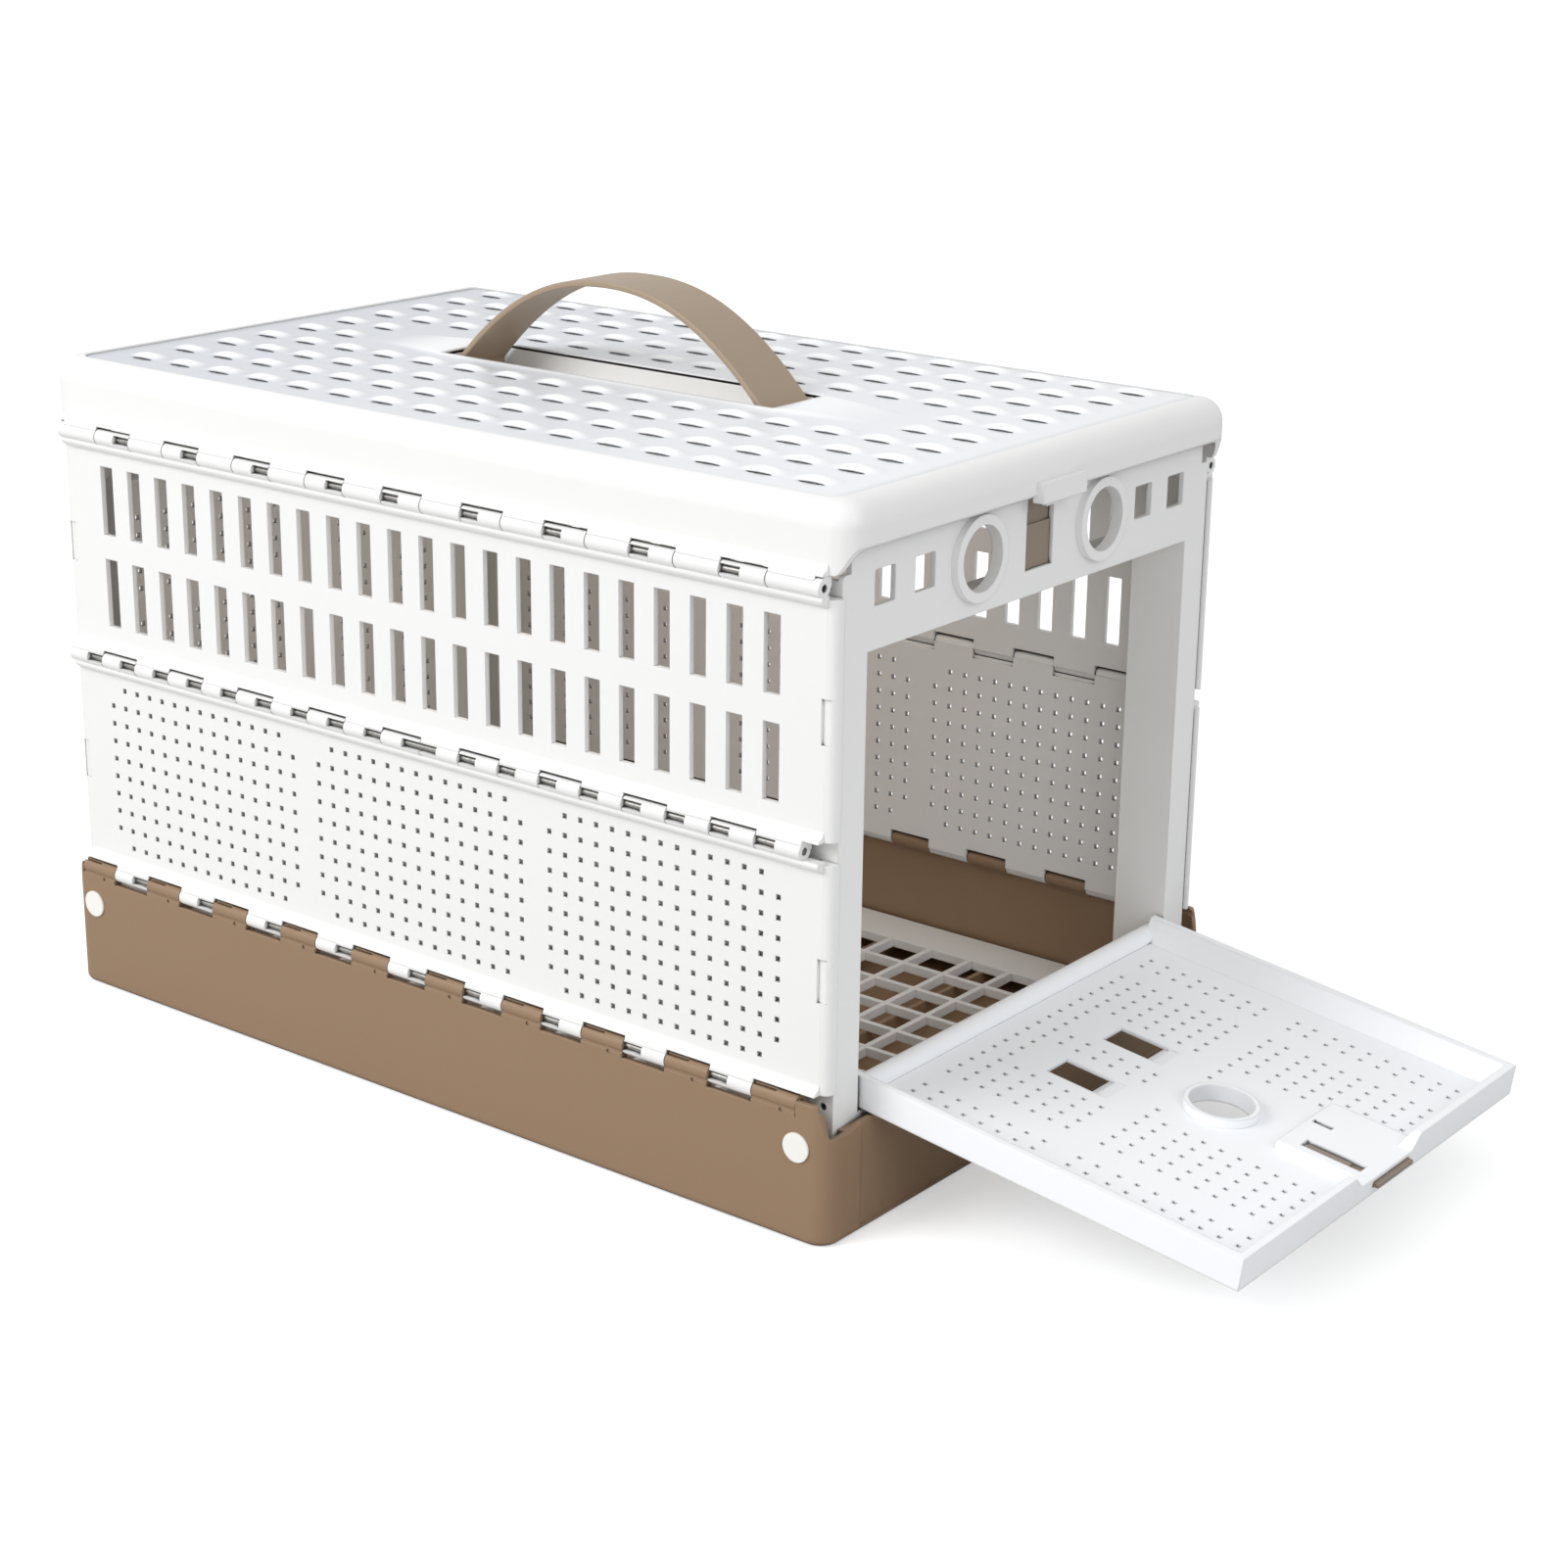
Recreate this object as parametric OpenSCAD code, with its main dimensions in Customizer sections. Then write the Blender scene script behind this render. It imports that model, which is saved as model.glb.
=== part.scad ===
// Folding bird travel carrier: a brown base tray, two pairs of hinged side walls,
// a perforated lid with a strap handle, and an end frame at each end. The front
// frame holds a drop-down ramp door.
// X runs along the carrier with the door at +X, Y across it, Z up.
// The origin is the centre of the tray's underside.

/* [Overall] */
// Length of the base tray
body_l = 430; // [330:1:560]
// Width of the base tray
body_w = 274; // [204:1:344]
// Distance between two hinge lines of a side wall
wall_h = 100; // [84:1:125]
// Wall thickness of the moulded shells
shell = 2.4; // [2:0.1:3.2]

/* [Base tray] */
// Height of the tray at its corners
tray_h = 44.5; // [42:0.5:45]
// Height of the tray's end walls between the corners
tray_end_h = 46.4; // [45:0.1:46.4]
// Height of the tray's side rims beside the hinge line
tray_rim_h = 58; // [56:0.5:59]
// Radius of the tray's upright corners
tray_corner = 9; // [7:0.5:14]
// Radius of the tray's bottom edge
tray_edge = 3; // [2.5:0.5:5]
// Height of the lowest hinge line
base_hinge_z = 56; // [54:0.5:60]
// Thickness of the floor grid
grid_t = 4; // [3:0.5:5]
// Height of the floor grid's underside
grid_z = 12; // [8:0.5:12]
// Pitch of the floor grid's bars
grid_pitch = 22; // [18:1:30]
// Width of a floor grid bar
grid_bar = 2.6; // [2:0.1:4]

/* [Hinges] */
// Radius of a hinge barrel
barrel_r = 3.5; // [3.3:0.1:3.8]
// Radius of a hinge rod
rod_r = 1.5; // [1.2:0.1:1.7]
// Radial running clearance of rods and pins
run_gap = 0.05; // [0.02:0.01:0.08]
// How far a hinge axis lies outside the wall's outer face
hinge_out = 1.8; // [1.4:0.1:2.1]
// Knuckles of the wall in the lowest and topmost hinge line
knuckles = 9; // [7:2:11]
// Gap between neighbouring knuckles
knuckle_gap = 0.4; // [0.3:0.1:1]
// How far the knuckles of the two lower hinge lines sit towards the door
row_shift = -4; // [-5:0.5:0]
// Length of the sight window in a knuckle
window_l = 9.5; // [6:0.5:10]

/* [Side walls] */
// How far the walls stand inside the tray's outer face
wall_inset = 5.5; // [5.2:0.1:6]
// Pitch of the slots
slot_pitch = 17.35; // [14:0.05:21]
// Width of a slot
slot_w = 7.6; // [5:0.1:9]
// Height of a slot as a share of the wall's height
slot_share = 0.303; // [0.22:0.001:0.31]
// Web between the two rows of slots, as a share of the wall's height
web_share = 0.107; // [0.08:0.001:0.14]
// Pitch of the pin holes in a lower wall
pin_pitch = 8.15; // [6.5:0.05:10]
// Side of a square pin hole
pin_hole = 2.2; // [1.6:0.1:3]
// Thickness of the end flange of a side wall
flange_t = 5; // [4:0.2:6]
// Length of the end flange of a side wall
flange_l = 8; // [7:0.5:9]

/* [Lid] */
// Height of the lid's rim above the topmost hinge line
lid_rise = 31; // [29:0.5:34]
// How far the lid overhangs the tray at each end
lid_over = 2; // [1:0.5:4]
// Radius of the lid's upright corners
lid_corner = 12; // [12:1:24]
// Radius of the lid's top edge
lid_edge = 10; // [7:0.5:12]
// Depth of the lid's end walls below its rim
lid_end_h = 16.5; // [14:0.5:17]
// Depth of the perforated field below the rim
field_drop = 1.2; // [0.8:0.1:2]
// Pitch of the slits, both ways
slit_pitch = 24.2; // [20:0.1:24.2]
// Length of a slit between its pointed ends
slit_l = 10; // [6:0.5:12]
// Width of a slit in its middle
slit_w = 2.6; // [1.6:0.1:3.2]
// Length of the hand recess between the strap's ends
recess_l = 184; // [150:1:190]
// Width of the hand recess
recess_w = 35; // [32:1:42]
// Depth of the hand recess below the field
recess_d = 8; // [5:0.5:10]

/* [Handle] */
// Width of the strap
strap_w = 30; // [24:1:32]
// Thickness of the strap
strap_t = 2.6; // [2:0.1:3.4]
// Height of the strap's crest above the lid's rim
strap_rise = 42; // [32:1:50]

/* [End frames] */
// Depth of the front frame along the carrier
frame_d = 25; // [20:1:28]
// Depth of the rear frame along the carrier
rear_d = 14; // [11:1:16]
// How far the frames' faces stand inside the tray's end face
frame_inset = 5.6; // [5:0.1:8]
// Height of the frame's pivot pins
pivot_z = 39.5; // [38:0.5:39.5]
// Distance of the pivot axis behind the frame's face
pivot_back = 8.6; // [8:0.1:8.8]
// Radius of a pivot pin's shank
pivot_r = 3; // [2.5:0.1:3.5]
// Radius of a pivot pin's head
pivot_head = 6; // [4.5:0.5:6]
// Width of a frame post
post_w = 15.5; // [12:0.5:18]
// Height of the header above the door opening, up to the lid's end wall
header_h = 42.2; // [38:0.5:46]
// Outer radius of a header ring
ring_r = 17; // [14:0.5:18]
// Bore radius of a header ring
ring_bore = 13; // [10:0.5:14]
// Distance of a header ring from the middle, as a share of the frame's half width
ring_share = 0.336; // [0.31:0.001:0.36]
// Width of a header window
win_w = 12.6; // [9:0.5:14]
// Height of a header window
win_h = 13.6; // [10:0.5:15]
// Distance of an inner header window from the middle, as a share of the frame's half width
inner_share = 0.6; // [0.57:0.001:0.62]
// Distance of an outer header window from the middle, as a share of the frame's half width
outer_share = 0.798; // [0.78:0.001:0.82]

/* [Door] */
// How far below level the open door hangs, in degrees
door_droop = 7.6; // [4:0.2:8]
// Thickness of the door's rim
door_t = 13; // [11:0.5:13.5]
// Gap between the door's sides and its opening
door_gap = 1.6; // [1:0.1:2.5]
// Gap between the shut door and the header
door_top_gap = 2.6; // [2.5:0.1:4]
// Pitch of the door's pin holes
door_pitch = 7.9; // [7:0.1:9]
// Radius of the hole in the middle of the door
port_bore = 13; // [10:0.5:16]
// Outer radius of the collar round that hole
port_r = 15; // [14.5:0.5:18]

/* [Latches] */
// Width of a frame latch's window
latch_w = 18.6; // [15:0.2:22]
// Height of a frame latch's window
latch_h = 23.5; // [20:0.5:26]
// Travel of a frame latch
latch_travel = 5; // [3:0.5:6]
// How far the drawn-back door latch stands out of the door
bolt_out = 2.2; // [1:0.1:2.2]
// Travel of the door latch
bolt_travel = 4; // [2.5:0.5:4]

/* [Hidden] */
$fn = 48;
eps = 0.02;

white = [0.94, 0.94, 0.93];
cream = [0.90, 0.89, 0.86];
brown = [0.60, 0.50, 0.40];
tan_c = [0.67, 0.57, 0.48];
steel = [0.62, 0.63, 0.65];

side_y = body_w / 2 - wall_inset;          // outer face of the side walls
hinge_y = side_y + hinge_out;
mid_hinge_z = base_hinge_z + wall_h;
lid_hinge_z = mid_hinge_z + wall_h;
lid_top = lid_hinge_z + lid_rise;
field_z = lid_top - field_drop;
lid_end_z = lid_top - lid_end_h;           // lower edge of the lid's end walls
knuckle_pitch = (body_l - 43.5) / knuckles; // two neighbouring knuckles
knuckle_l = knuckle_pitch / 2 - knuckle_gap;
rod_half = (knuckles + 1) * knuckle_pitch / 2 - knuckle_pitch / 4 - 1;
edge_v = barrel_r + 0.9;                   // from a hinge axis to the neighbour's edge
wall_half = body_l / 2 - 4;                // half the length of a side wall
slot_count = floor((body_l - 48) / slot_pitch);
slot_h = slot_share * wall_h;
slot_web = web_share * wall_h;
group_pitch = (body_l - 41.5) / 3;         // pitch of the three groups of pin holes in a wall
pin_cols = floor((group_pitch - 7) / pin_pitch);
pin_rows = floor((wall_h - 18) / pin_pitch);

frame_x = body_l / 2 - frame_inset;        // outer face of an end frame
frame_half = side_y - flange_t - 0.5;      // half the width of an end frame
open_half = frame_half - post_w;           // half the width of the door opening
open_top = lid_end_z - header_h;
frame_top = lid_top - shell - field_drop - 8;
pivot_x = frame_x - pivot_back;
ring_y = ring_share * frame_half;
win_inner = inner_share * frame_half;
win_outer = outer_share * frame_half;
skin = 2.2;                                 // thickness of an end frame's skin
latch_t = 2.6;                              // thickness of a frame latch

door_hx = frame_x - 4.6;                   // door hinge axis
door_hz = tray_end_h + 7;
door_half = open_half - door_gap;
door_l = open_top - door_hz - door_top_gap;
door_in = door_t - 4.5;                    // rim depth on the inner side of the axis
panel_in = 1.2;
panel_out = 2.8;

// Turns a drawing in (outward, up) into a bar along X on one side of the carrier.
// side is -1 for the left wall and 1 for the right wall.
module along_x(x0, x1, side, z)
    translate([x0, side * side_y, z])
        rotate([90, 0, 90])
            mirror([side < 0 ? 1 : 0, 0, 0])
                linear_extrude(x1 - x0) children();

// A closed rounded box whose top edges are rolled: l by w by h, standing on z = 0.
module rolled_box(l, w, h, corner, edge) {
    for (sx = [-1, 1], sy = [-1, 1])
        translate([sx * (l / 2 - corner), sy * (w / 2 - corner), 0])
            rotate_extrude()
                intersection() {
                    rolled_profile(2 * corner, h, edge);
                    square([corner, h]);
                }
    translate([-(l / 2 - corner), 0, 0])
        rotate([90, 0, 90]) linear_extrude(l - 2 * corner) rolled_profile(w, h, edge);
    translate([0, w / 2 - corner, 0])
        rotate([90, 0, 0]) linear_extrude(w - 2 * corner) rolled_profile(l, h, edge);
}

// Half-open section of a rolled box: w wide, h high, with its two top corners rounded.
module rolled_profile(w, h, edge) {
    translate([-w / 2, 0]) square([w, h - edge]);
    translate([-w / 2 + edge, 0]) square([w - 2 * edge, h]);
    for (s = [-1, 1]) translate([s * (w / 2 - edge), h - edge]) circle(edge);
}

// A flat rounded rectangle centred on the origin.
module round_rect(l, w, r) {
    square([l - 2 * r, w], center = true);
    square([l, w - 2 * r], center = true);
    for (sx = [-1, 1], sy = [-1, 1]) translate([sx * (l / 2 - r), sy * (w / 2 - r)]) circle(r);
}

// Places of the odd knuckles of a hinge line, and of the even ones between them.
function odd_knuckles(dx = 0) = [for (i = [0 : knuckles - 1]) (i - (knuckles - 1) / 2) * knuckle_pitch + dx];
function even_knuckles(dx = 0) = [for (i = [0 : knuckles]) (i - knuckles / 2) * knuckle_pitch + dx];

// S-curve from 0 to 1 in a few straight steps, used where a rim steps up or down.
function ease(t) = 0.5 - 0.5 * cos(180 * t);
function s_curve(a0, b0, a1, b1) = [for (i = [0 : 8]) [a0 + (a1 - a0) * i / 8, b0 + (b1 - b0) * ease(i / 8)]];

// Section of one knuckle. up is 1 where its plate lies above the hinge axis.
module knuckle_section(up, thick) {
    translate([hinge_out, 0]) circle(barrel_r);
    mirror([0, up > 0 ? 0 : 1])
        polygon([[-thick, 0], [hinge_out, 0], [hinge_out + 0.9 * barrel_r, 0.4 * barrel_r],
            [hinge_out + 0.7 * barrel_r, 0.72 * barrel_r], [hinge_out + 0.4 * barrel_r, barrel_r],
            [0.6, edge_v + 0.8], [0, edge_v + 2], [-thick, edge_v + 2]]);
}

// A row of knuckles on one side, with their bores left for hinge_bore to cut.
module knuckle_row(places, side, z, up, thick = shell)
    for (x = places)
        along_x(x - knuckle_l / 2, x + knuckle_l / 2, side, z) knuckle_section(up, thick);

// The bore of a whole hinge line.
module hinge_bore(side, z)
    translate([-body_l, side * hinge_y, z]) rotate([0, 90, 0]) cylinder(r = rod_r + run_gap, h = 2 * body_l);

// Sight windows through the barrels' outer faces, at each knuckle's end nearest the middle.
module sight_windows(places, side, z)
    for (x = places)
        translate([x < -1 ? x + knuckle_l / 2 - window_l : x - knuckle_l / 2 - eps,
            side > 0 ? hinge_y + rod_r * 0.4 : -hinge_y - rod_r * 0.4 - barrel_r, z - rod_r * 0.8])
            cube([window_l + eps, barrel_r, rod_r * 2.4]);

// The lip that flares out above a hinge line.
module lip_section()
    polygon([[-shell, edge_v], [hinge_out + 0.45 * barrel_r, edge_v], [hinge_out + 0.3 * barrel_r, edge_v + 1],
        [0.5, edge_v + 2.2], [0, edge_v + 4], [-shell, edge_v + 4]]);

module hinge_rod(side, z, dx)
    color(steel)
        translate([dx - rod_half, side * hinge_y, z]) rotate([0, 90, 0]) cylinder(r = rod_r, h = 2 * rod_half);

// ---- base tray ----
module base_tray() color(brown) difference() {
    union() {
        difference() {
            union() {
                // The rolled edge is at the bottom, so the box is turned over.
                mirror([0, 0, 1]) translate([0, 0, -tray_h])
                    rolled_box(body_l, body_w, tray_h, tray_corner, tray_edge);
                // Side rims rise to the hinge line and fall in an S-curve at the corners.
                for (s = [-1, 1]) intersection() {
                    linear_extrude(tray_rim_h) round_rect(body_l, body_w, tray_corner);
                    translate([0, s * body_w / 2 + 4, 0]) rotate([90, 0, 0]) linear_extrude(8) side_rim();
                }
                // End walls rise a little between the corners.
                for (s = [-1, 1])
                    translate([s * (body_l / 2 - 2) - 2, 0, 0]) rotate([90, 0, 90]) linear_extrude(4) end_rim();
            }
            translate([0, 0, shell])
                linear_extrude(base_hinge_z)
                    round_rect(body_l - 2 * shell, body_w - 2 * shell, tray_corner - shell);
            // Sunken panels in the two end faces leave a proud band at each corner.
            for (s = [-1, 1])
                translate([s * (body_l / 2 + 5 - 0.8), 0, tray_h / 2 + 3])
                    cube([10, body_w - 44, tray_h], center = true);
        }
        // Inner shelf under the rim at the ends, which stops the frames.
        for (s = [-1, 1])
            translate([s * (body_l / 2 - shell - 1), 0, tray_h - 2])
                cube([4, body_w - 28, 4], center = true);
        // Bosses that space the frames' legs from the tray's walls.
        for (sx = [-1, 1], sy = [-1, 1])
            translate([sx * pivot_x, sy * (body_w / 2 - shell), pivot_z])
                rotate([sy > 0 ? 90 : -90, 0, 0])
                    cylinder(r = pivot_r + 2.3, h = body_w / 2 - shell - frame_half - 0.3);
        // Ribs on the floor that carry the grid.
        for (x = [-3 : 3])
            translate([x * body_l / 7.4 - 1, -body_w / 2 + shell + 8, shell - eps])
                cube([2, body_w - 2 * shell - 16, grid_z - shell + eps]);
        for (s = [-1, 1], x = even_knuckles(row_shift))
            along_x(x - knuckle_l / 2, x + knuckle_l / 2, s, base_hinge_z) {
                translate([hinge_out, 0]) circle(barrel_r);
                polygon([[hinge_out - 1, -1], [hinge_out + 2.4, -1], [wall_inset - 0.8, 1 - barrel_r],
                    [wall_inset, 0.8 - barrel_r], [wall_inset, -edge_v - 1], [wall_inset - 3, -edge_v - 1]]);
            }
    }
    for (s = [-1, 1]) hinge_bore(s, base_hinge_z);
    // The walls' own knuckles pass here.
    for (s = [-1, 1], x = odd_knuckles(row_shift))
        translate([x - knuckle_l / 2 - knuckle_gap, s * hinge_y - 6, base_hinge_z - edge_v + 0.3])
            cube([knuckle_l + 2 * knuckle_gap, 12, 12]);
    // Slit in the top of each barrel, and a gate mark under it.
    for (s = [-1, 1], x = even_knuckles(row_shift)) {
        translate([x - knuckle_l / 2 - eps, s * (hinge_y + 1.5) - 0.6, base_hinge_z + 1]) cube([11, 1.2, 4]);
        translate([x + 3.8, s * body_w / 2, base_hinge_z - 3.4]) rotate([90, 0, 0])
            cylinder(r = 0.9, h = 1.2, center = true);
    }
    for (sx = [-1, 1])
        translate([sx * pivot_x, -body_w, pivot_z]) rotate([-90, 0, 0])
            cylinder(r = pivot_r + run_gap, h = 2 * body_w);
}

// Side rim of the tray in (x, z): low along the row of knuckles and high beyond its ends.
module side_rim() {
    far = body_l / 2 - 0.5;
    near = far - 6;
    low = base_hinge_z - edge_v;
    high = tray_rim_h - eps;
    bar_end = even_knuckles(row_shift)[knuckles] + knuckle_l / 2 + 0.3;
    bar_start = 2 * row_shift - bar_end;
    polygon(concat([[-far, tray_h - 4]], s_curve(-far, tray_h - 1, -near, high),
        [[bar_start, high], [bar_start, low], [bar_end, low], [bar_end, high]],
        s_curve(near, high, far, tray_h - 1), [[far, tray_h - 4]]));
}

// Top of an end wall of the tray in (y, z).
module end_rim() {
    far = body_w / 2 - tray_corner;
    near = far - 16;
    polygon(concat(s_curve(-far, tray_h - 1, -near, tray_end_h), s_curve(near, tray_end_h, far, tray_h - 1)));
}

// ---- floor grid ----
grid_l = body_l - 2 * shell - 4;
grid_w = body_w - 2 * shell - 4;

module floor_grid() color(white) translate([0, 0, grid_z]) linear_extrude(grid_t) {
    nx = floor((grid_l - 16) / grid_pitch / 2);
    ny = floor((grid_w - 16) / grid_pitch / 2);
    cell = grid_pitch - grid_bar;
    difference() {
        round_rect(grid_l, grid_w, tray_corner - shell - 2);
        for (i = [-nx : nx - 1], j = [-ny : ny - 1])
            translate([i * grid_pitch + grid_bar / 2, j * grid_pitch + grid_bar / 2]) square(cell);
    }
}

// ---- side walls ----
pocket_w = 4;                               // blind pocket in the end flanges
pocket_h = 17.5;
pocket_d = 1.2;
end_r = 4.5;                                // radius of a side wall's upright end edges

// Flat plate of a side wall, drawn in (x, height above its lower hinge axis).
module wall_outline() {
    translate([0, wall_h / 2]) square([2 * wall_half - 8, wall_h - 2 * edge_v], center = true);
}

// Stands a drawing of the wall upright: its outer face on side_y, thick inwards.
module stand_wall(side, z, thick)
    translate([0, side > 0 ? side_y : -side_y + thick, z]) rotate([90, 0, 0]) linear_extrude(thick) children();

// Thicker end flanges, each with a rounded upright edge.
module wall_ends(side, z) for (s = [-1, 1])
    mirror([s < 0 ? 1 : 0, 0, 0]) mirror([0, side < 0 ? 1 : 0, 0])
        translate([wall_half, side_y, z + edge_v]) linear_extrude(wall_h - 2 * edge_v) intersection() {
            translate([-flange_l, -flange_t]) square([flange_l, flange_t]);
            union() {
                translate([-flange_l, -2 * flange_t]) square([flange_l - end_r, 2 * flange_t]);
                translate([-flange_l, -2 * flange_t]) square([flange_l, 2 * flange_t - end_r]);
                translate([-end_r, -end_r]) circle(end_r);
            }
        }

// Blind pockets in the outer faces of the end flanges.
module end_pockets(side, z) for (s = [-1, 1])
    translate([s * (wall_half - 4) - pocket_w / 2, side > 0 ? side_y - pocket_d : -side_y - 1,
        z + (wall_h - pocket_h) / 2]) cube([pocket_w, pocket_d + 1, pocket_h]);

module lower_wall(side) color(white) difference() {
    union() {
        stand_wall(side, base_hinge_z, shell) difference() {
            wall_outline();
            for (g = [-1 : 1], c = [0 : pin_cols - 1], r = [0 : pin_rows - 1])
                if (!((c == 0 || c == pin_cols - 1) && (r == 0 || r == pin_rows - 1)))
                    translate([g * group_pitch + (c - (pin_cols - 1) / 2) * pin_pitch,
                        wall_h / 2 + (r - (pin_rows - 1) / 2) * pin_pitch])
                        square(pin_hole, center = true);
        }
        wall_ends(side, base_hinge_z);
        knuckle_row(odd_knuckles(row_shift), side, base_hinge_z, 1);
        along_x(-wall_half + 4, wall_half - 4, side, base_hinge_z) lip_section();
        knuckle_row(odd_knuckles(row_shift), side, mid_hinge_z, -1);
    }
    hinge_bore(side, base_hinge_z);
    hinge_bore(side, mid_hinge_z);
    sight_windows(odd_knuckles(row_shift), side, base_hinge_z);
    sight_windows(odd_knuckles(row_shift), side, mid_hinge_z);
    end_pockets(side, base_hinge_z);
}

module upper_wall(side) color(white) difference() {
    slot_mid = wall_h * 0.507;
    union() {
        stand_wall(side, mid_hinge_z, shell) difference() {
            wall_outline();
            for (i = [0 : slot_count - 1], r = [-1, 1])
                translate([(i - (slot_count - 1) / 2) * slot_pitch, slot_mid + r * (slot_h + slot_web) / 2])
                    square([slot_w, slot_h], center = true);
        }
        wall_ends(side, mid_hinge_z);
        knuckle_row(even_knuckles(row_shift), side, mid_hinge_z, 1);
        along_x(-wall_half + 4, wall_half - 4, side, mid_hinge_z) lip_section();
        knuckle_row(odd_knuckles(), side, lid_hinge_z, -1);
    }
    hinge_bore(side, mid_hinge_z);
    hinge_bore(side, lid_hinge_z);
    sight_windows(even_knuckles(row_shift), side, mid_hinge_z);
    sight_windows(odd_knuckles(), side, lid_hinge_z);
    end_pockets(side, mid_hinge_z);
}

// ---- lid ----
lid_l = body_l + 2 * lid_over;
lid_w = 2 * side_y;
lid_h = lid_top - lid_hinge_z - edge_v;    // from the rim down to the side skirts' edge
field_l = lid_l - 24;
field_w = lid_w - 16;
catch_x = frame_x - skin - 0.3 - latch_t / 2;   // middle of the frame latch's tongue
pad_l = 50;

// True where a slit would run into the recess or the pads beside it.
function near_handle(x, y) = abs(y) < recess_w / 2 && abs(x) < recess_l / 2 + pad_l;

module lid_slits() {
    nx = floor((field_l - 20) / slit_pitch / 2) * 2;
    ny = floor(field_w / slit_pitch / 2) * 2;
    for (i = [0 : nx - 1], j = [0 : ny - 1]) {
        x = (i - (nx - 1) / 2) * slit_pitch;
        y = (j - (ny - 1) / 2) * slit_pitch;
        if (!near_handle(x, y)) translate([x, y])
            polygon([[-slit_l / 2, 0], [-slit_l / 4, -slit_w / 2], [slit_l / 4, -slit_w / 2],
                [slit_l / 2, 0], [slit_l / 4, slit_w / 2], [-slit_l / 4, slit_w / 2]]);
    }
}

module lid_cover() color(white) difference() {
    union() {
        difference() {
            translate([0, 0, lid_top - lid_h]) rolled_box(lid_l, lid_w, lid_h, lid_corner, lid_edge);
            translate([0, 0, lid_top - lid_h - eps])
                rolled_box(lid_l - 2 * shell, lid_w - 2 * shell, lid_h - shell - field_drop + eps,
                    lid_corner - shell, lid_edge - shell);
            // The end walls are shorter than the side skirts, with an S-curve between.
            for (s = [-1, 1]) mirror([s < 0 ? 1 : 0, 0, 0])
                translate([0, body_w, 0]) rotate([90, 0, 0]) linear_extrude(2 * body_w) end_cut();
            // Sunken field.
            translate([0, 0, field_z]) linear_extrude(10) round_rect(field_l, field_w, 6);
            // Room for the plate with the slits.
            translate([0, 0, field_z - 10]) linear_extrude(20) round_rect(field_l - 20, field_w - 12, 4);
        }
        translate([0, 0, field_z - shell]) linear_extrude(shell) difference() {
            round_rect(field_l - 18, field_w - 10, 5);
            lid_slits();
            round_rect(recess_l, recess_w, 8);
        }
        recess_pan();
        for (s = [-1, 1]) {
            knuckle_row(even_knuckles(), s, lid_hinge_z, 1);
            // The outermost knuckles are a little longer.
            for (x = [-1, 1] * (even_knuckles()[knuckles] + knuckle_l / 2))
                along_x(x - 3, x + 3, s, lid_hinge_z) knuckle_section(1, shell);
            along_x(-wall_half + 4, wall_half - 4, s, lid_hinge_z) lip_section();
            lid_catch(s);
        }
    }
    for (s = [-1, 1]) {
        hinge_bore(s, lid_hinge_z);
        // Slots that the strap's feet pass through.
        translate([s * (recess_l / 2 - 5), 0, field_z - recess_d - shell])
            cube([strap_t + 0.6, strap_w + 0.6, 10], center = true);
    }
}

// Outline cut away under the lid's end walls, rising in an S-curve round the corner.
module end_cut() {
    low = lid_top - lid_h;
    x0 = lid_l / 2 - 8;
    polygon(concat(s_curve(x0, low, lid_l / 2 - 0.5, lid_end_z),
        [[lid_l, lid_end_z], [lid_l, low - 20], [x0, low - 20]]));
}

// The hand recess: a shallow pan below the field.
module recess_pan() difference() {
    translate([0, 0, field_z - recess_d - shell]) linear_extrude(recess_d + shell)
        round_rect(recess_l + 2 * shell, recess_w + 2 * shell, 10);
    translate([0, 0, field_z - recess_d]) linear_extrude(recess_d + 1) round_rect(recess_l, recess_w, 8);
}

// Keeper tab outside the end wall, and the pocket that the frame latch rises into.
module lid_catch(s) {
    tab_w = 30;
    translate([s * (lid_l / 2 + 1), 0, lid_end_z + 1]) cube([5, tab_w, 8], center = true);
    difference() {
        translate([s * catch_x, 0, (frame_top + 0.6 + field_z - shell) / 2])
            cube([10, latch_w + 6, field_z - shell - frame_top - 0.6 + 2 * eps], center = true);
        translate([s * catch_x, 0, frame_top + (latch_travel + 1) / 2])
            cube([latch_t + 1, latch_w - 4, latch_travel + 1], center = true);
    }
}

// ---- handle ----
// Half-length of the arch where it leaves the recess, and its crest.
strap_x = recess_l / 2 - 5;
crest = lid_top + strap_rise;

// Height of the strap's underside at x: one smooth arch between the two feet.
function arch(x) = field_z - 4 + (crest - strap_t - field_z + 4) * (1 - pow(abs(x) / strap_x, 2.2));

module handle_strap() color(tan_c) {
    steps = 24;
    xs = [for (i = [0 : steps]) -strap_x + 2 * strap_x * i / steps];
    translate([0, strap_w / 2, 0]) rotate([90, 0, 0]) linear_extrude(strap_w)
        polygon(concat([for (x = xs) [x * (1 + 0.45 * strap_t / strap_x),
                arch(x) + strap_t * (abs(x) < strap_x * 0.9 ? 1 : 0.45)]],
            [for (i = [steps : -1 : 0]) [xs[i] * (1 - 0.55 * strap_t / strap_x), arch(xs[i])]]));
    // Feet through the lid, with a cross bar under it.
    for (s = [-1, 1]) {
        translate([s * strap_x, 0, (field_z - recess_d - shell - 3 + field_z - 3) / 2])
            cube([strap_t, strap_w, recess_d + shell], center = true);
        translate([s * strap_x, 0, field_z - recess_d - shell - 1.8])
            cube([8, strap_w + 6, 3], center = true);
    }
}

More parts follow.
